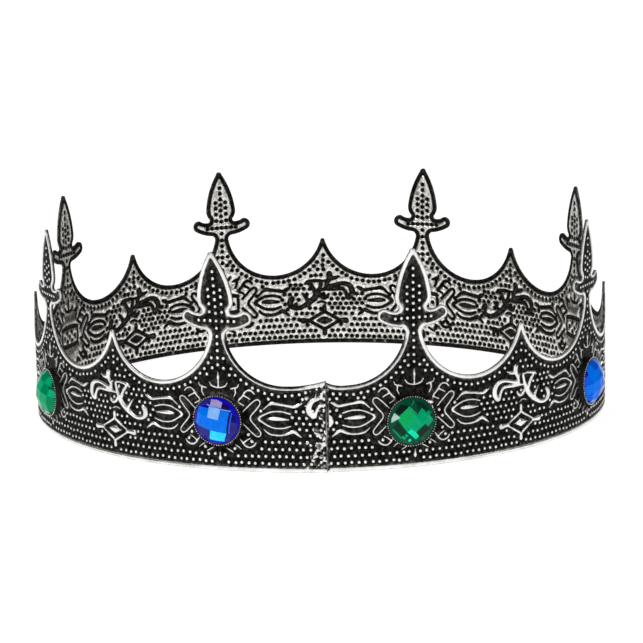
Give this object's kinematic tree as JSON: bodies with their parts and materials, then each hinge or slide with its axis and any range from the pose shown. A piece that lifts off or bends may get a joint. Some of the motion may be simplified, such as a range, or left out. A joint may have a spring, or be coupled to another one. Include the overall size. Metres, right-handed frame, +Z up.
{
  "type": "crown",
  "caption": "Open ring crown of embossed sheet metal with spear-shaped finials, scalloped top edge and round faceted stones in milled cups.",
  "frame": {"origin": "on the ring's axis, at the height of the bottom edge", "axes": "+Z up along the ring's axis; -Y towards the lapped seam; +X to the right of someone who faces the seam"},
  "size_m": [0.19, 0.1919, 0.0663],
  "materials": {
    "antique_silver": "antiqued, bright on the relief and black in the ground",
    "solder": "rough, darkened",
    "cup_silver": "antiqued, bright milled rim and black wall",
    "foil": "bright mirror foil",
    "green_glass": "faceted, polished, foil-backed",
    "blue_glass": "faceted, polished, foil-backed"
  },
  "bodies": {
    "root": {"band": "antique_silver", "seam_solder": "solder", "cup_solder_1": "solder", "cup_solder_2": "solder", "cup_solder_3": "solder", "cup_solder_4": "solder", "cup_solder_5": "solder", "cup_solder_6": "solder", "cup_solder_7": "solder", "cup_solder_8": "solder", "cup_1": "cup_silver", "cup_2": "cup_silver", "cup_3": "cup_silver", "cup_4": "cup_silver", "cup_5": "cup_silver", "cup_6": "cup_silver", "cup_7": "cup_silver", "cup_8": "cup_silver", "foil_1": "foil", "foil_2": "foil", "foil_3": "foil", "foil_4": "foil", "foil_5": "foil", "foil_6": "foil", "foil_7": "foil", "foil_8": "foil", "stone_1_green": "green_glass", "stone_2_blue": "blue_glass", "stone_3_green": "green_glass", "stone_4_blue": "blue_glass", "stone_5_green": "green_glass", "stone_6_blue": "blue_glass", "stone_7_green": "green_glass", "stone_8_blue": "blue_glass"}
  },
  "joints": []
}
